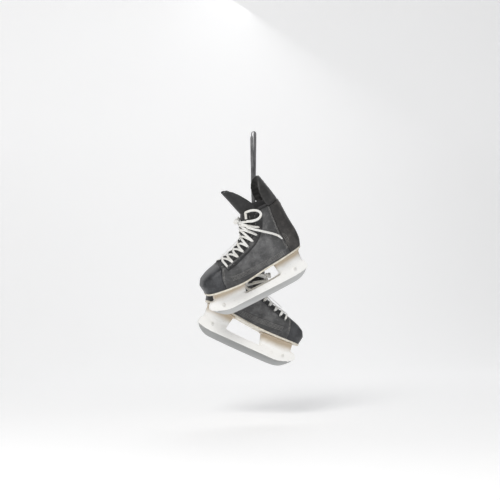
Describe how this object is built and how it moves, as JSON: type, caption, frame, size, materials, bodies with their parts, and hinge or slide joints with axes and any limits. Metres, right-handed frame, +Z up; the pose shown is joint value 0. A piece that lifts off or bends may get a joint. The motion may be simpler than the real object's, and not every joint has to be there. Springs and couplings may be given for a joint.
{
  "type": "ice skates",
  "caption": "Pair of laced ice hockey skates, black leather boots on white blade holders with steel runners, hung from a hook by one folded black lace.",
  "frame": {"origin": "top of the lace's fold, where the hook holds the pair", "axes": "+Z up; the skates' long sides lie along X, the nearer skate's toe towards -X; -Y is the side that the nearer skate is on"},
  "size_m": [0.3094, 0.2436, 0.6331],
  "materials": {
    "steel": "ground steel with fine lengthwise lines",
    "holder_plastic": "moulded white plastic, slightly yellowed under the sole",
    "bolt_steel": "plated steel",
    "outsole": "pale cream sole with a worn edge",
    "footbed": "covered insole board",
    "quarter_leather": "worn black leather with grey rubbed patches",
    "toe_leather": "smooth black toe cap with a soft shine",
    "counter_leather": "black leather with rows of stitching",
    "facing_leather": "black leather facing with eyelets",
    "guard_leather": "black stiffened tendon guard",
    "tongue_leather": "black tongue face",
    "felt": "black felt",
    "lining": "black cloth lining",
    "tab_webbing": "grey woven loop",
    "white_lace": "flat white cotton lace",
    "black_lace": "flat black lace, faded to grey"
  },
  "bodies": {
    "hanging_lace": {"lace_fold": "black_lace", "near_strand": "black_lace", "far_strand": "black_lace"},
    "near_skate": {"near_runner": "steel", "near_holder": "holder_plastic", "near_holder_bolt_rear": "bolt_steel", "near_holder_bolt_front": "bolt_steel", "near_outsole": "outsole", "near_footbed": "footbed", "near_quarter_outer": "quarter_leather", "near_quarter_inner": "quarter_leather", "near_toe_cap": "toe_leather", "near_heel_counter": "counter_leather", "near_facing_outer": "facing_leather", "near_facing_inner": "facing_leather", "near_lining": "lining", "near_tongue_base": "tongue_leather", "near_pull_tab": "tab_webbing", "near_lacing": "white_lace", "near_bow_knot": "white_lace", "near_bow_loop_outer": "white_lace", "near_bow_loop_inner": "white_lace", "near_lace_tail_outer": "white_lace", "near_lace_tail_inner": "white_lace", "near_stopper_knot": "black_lace"},
    "near_tongue_flap": {"near_tongue": "tongue_leather", "near_tongue_felt": "felt"},
    "near_guard_flap": {"near_tendon_guard": "guard_leather"},
    "far_skate": {"far_runner": "steel", "far_holder": "holder_plastic", "far_holder_bolt_rear": "bolt_steel", "far_holder_bolt_front": "bolt_steel", "far_outsole": "outsole", "far_footbed": "footbed", "far_quarter_outer": "quarter_leather", "far_quarter_inner": "quarter_leather", "far_toe_cap": "toe_leather", "far_heel_counter": "counter_leather", "far_facing_outer": "facing_leather", "far_facing_inner": "facing_leather", "far_lining": "lining", "far_tongue_base": "tongue_leather", "far_pull_tab": "tab_webbing", "far_lacing": "white_lace", "far_bow_knot": "white_lace", "far_bow_loop_outer": "white_lace", "far_bow_loop_inner": "white_lace", "far_lace_tail_outer": "white_lace", "far_lace_tail_inner": "white_lace", "far_stopper_knot": "black_lace"},
    "far_tongue_flap": {"far_tongue": "tongue_leather", "far_tongue_felt": "felt"},
    "far_guard_flap": {"far_tendon_guard": "guard_leather"}
  },
  "joints": [
    {"name": "near_swing", "type": "hinge", "parent": "hanging_lace", "child": "near_skate", "pos_m": [-0.005, -0.017, -0.222], "axis": [0, 1, 0], "range_deg": [-20, 20]},
    {"name": "near_tongue_fold", "type": "hinge", "parent": "near_skate", "child": "near_tongue_flap", "pos_m": [-0.0538, -0.06837, -0.22696], "axis": [0.0612, -0.9903, -0.125], "range_deg": [0, 45], "stiffness_Nm_per_rad": 0.6},
    {"name": "near_guard_flex", "type": "hinge", "parent": "near_skate", "child": "near_guard_flap", "pos_m": [0.04542, -0.06823, -0.17945], "axis": [-0.0612, 0.9903, 0.125], "range_deg": [0, 15], "stiffness_Nm_per_rad": 3},
    {"name": "far_swing", "type": "hinge", "parent": "hanging_lace", "child": "far_skate", "pos_m": [0.0048, 0.017, -0.376], "axis": [0, 1, 0], "range_deg": [-20, 20]},
    {"name": "far_tongue_fold", "type": "hinge", "parent": "far_skate", "child": "far_tongue_flap", "pos_m": [0.05016, 0.06611, -0.37162], "axis": [-0.0108, 0.9997, -0.0238], "range_deg": [0, 45], "stiffness_Nm_per_rad": 0.6},
    {"name": "far_guard_flex", "type": "hinge", "parent": "far_skate", "child": "far_guard_flap", "pos_m": [-0.05043, 0.06609, -0.32709], "axis": [0.0108, -0.9997, 0.0238], "range_deg": [0, 15], "stiffness_Nm_per_rad": 3}
  ]
}
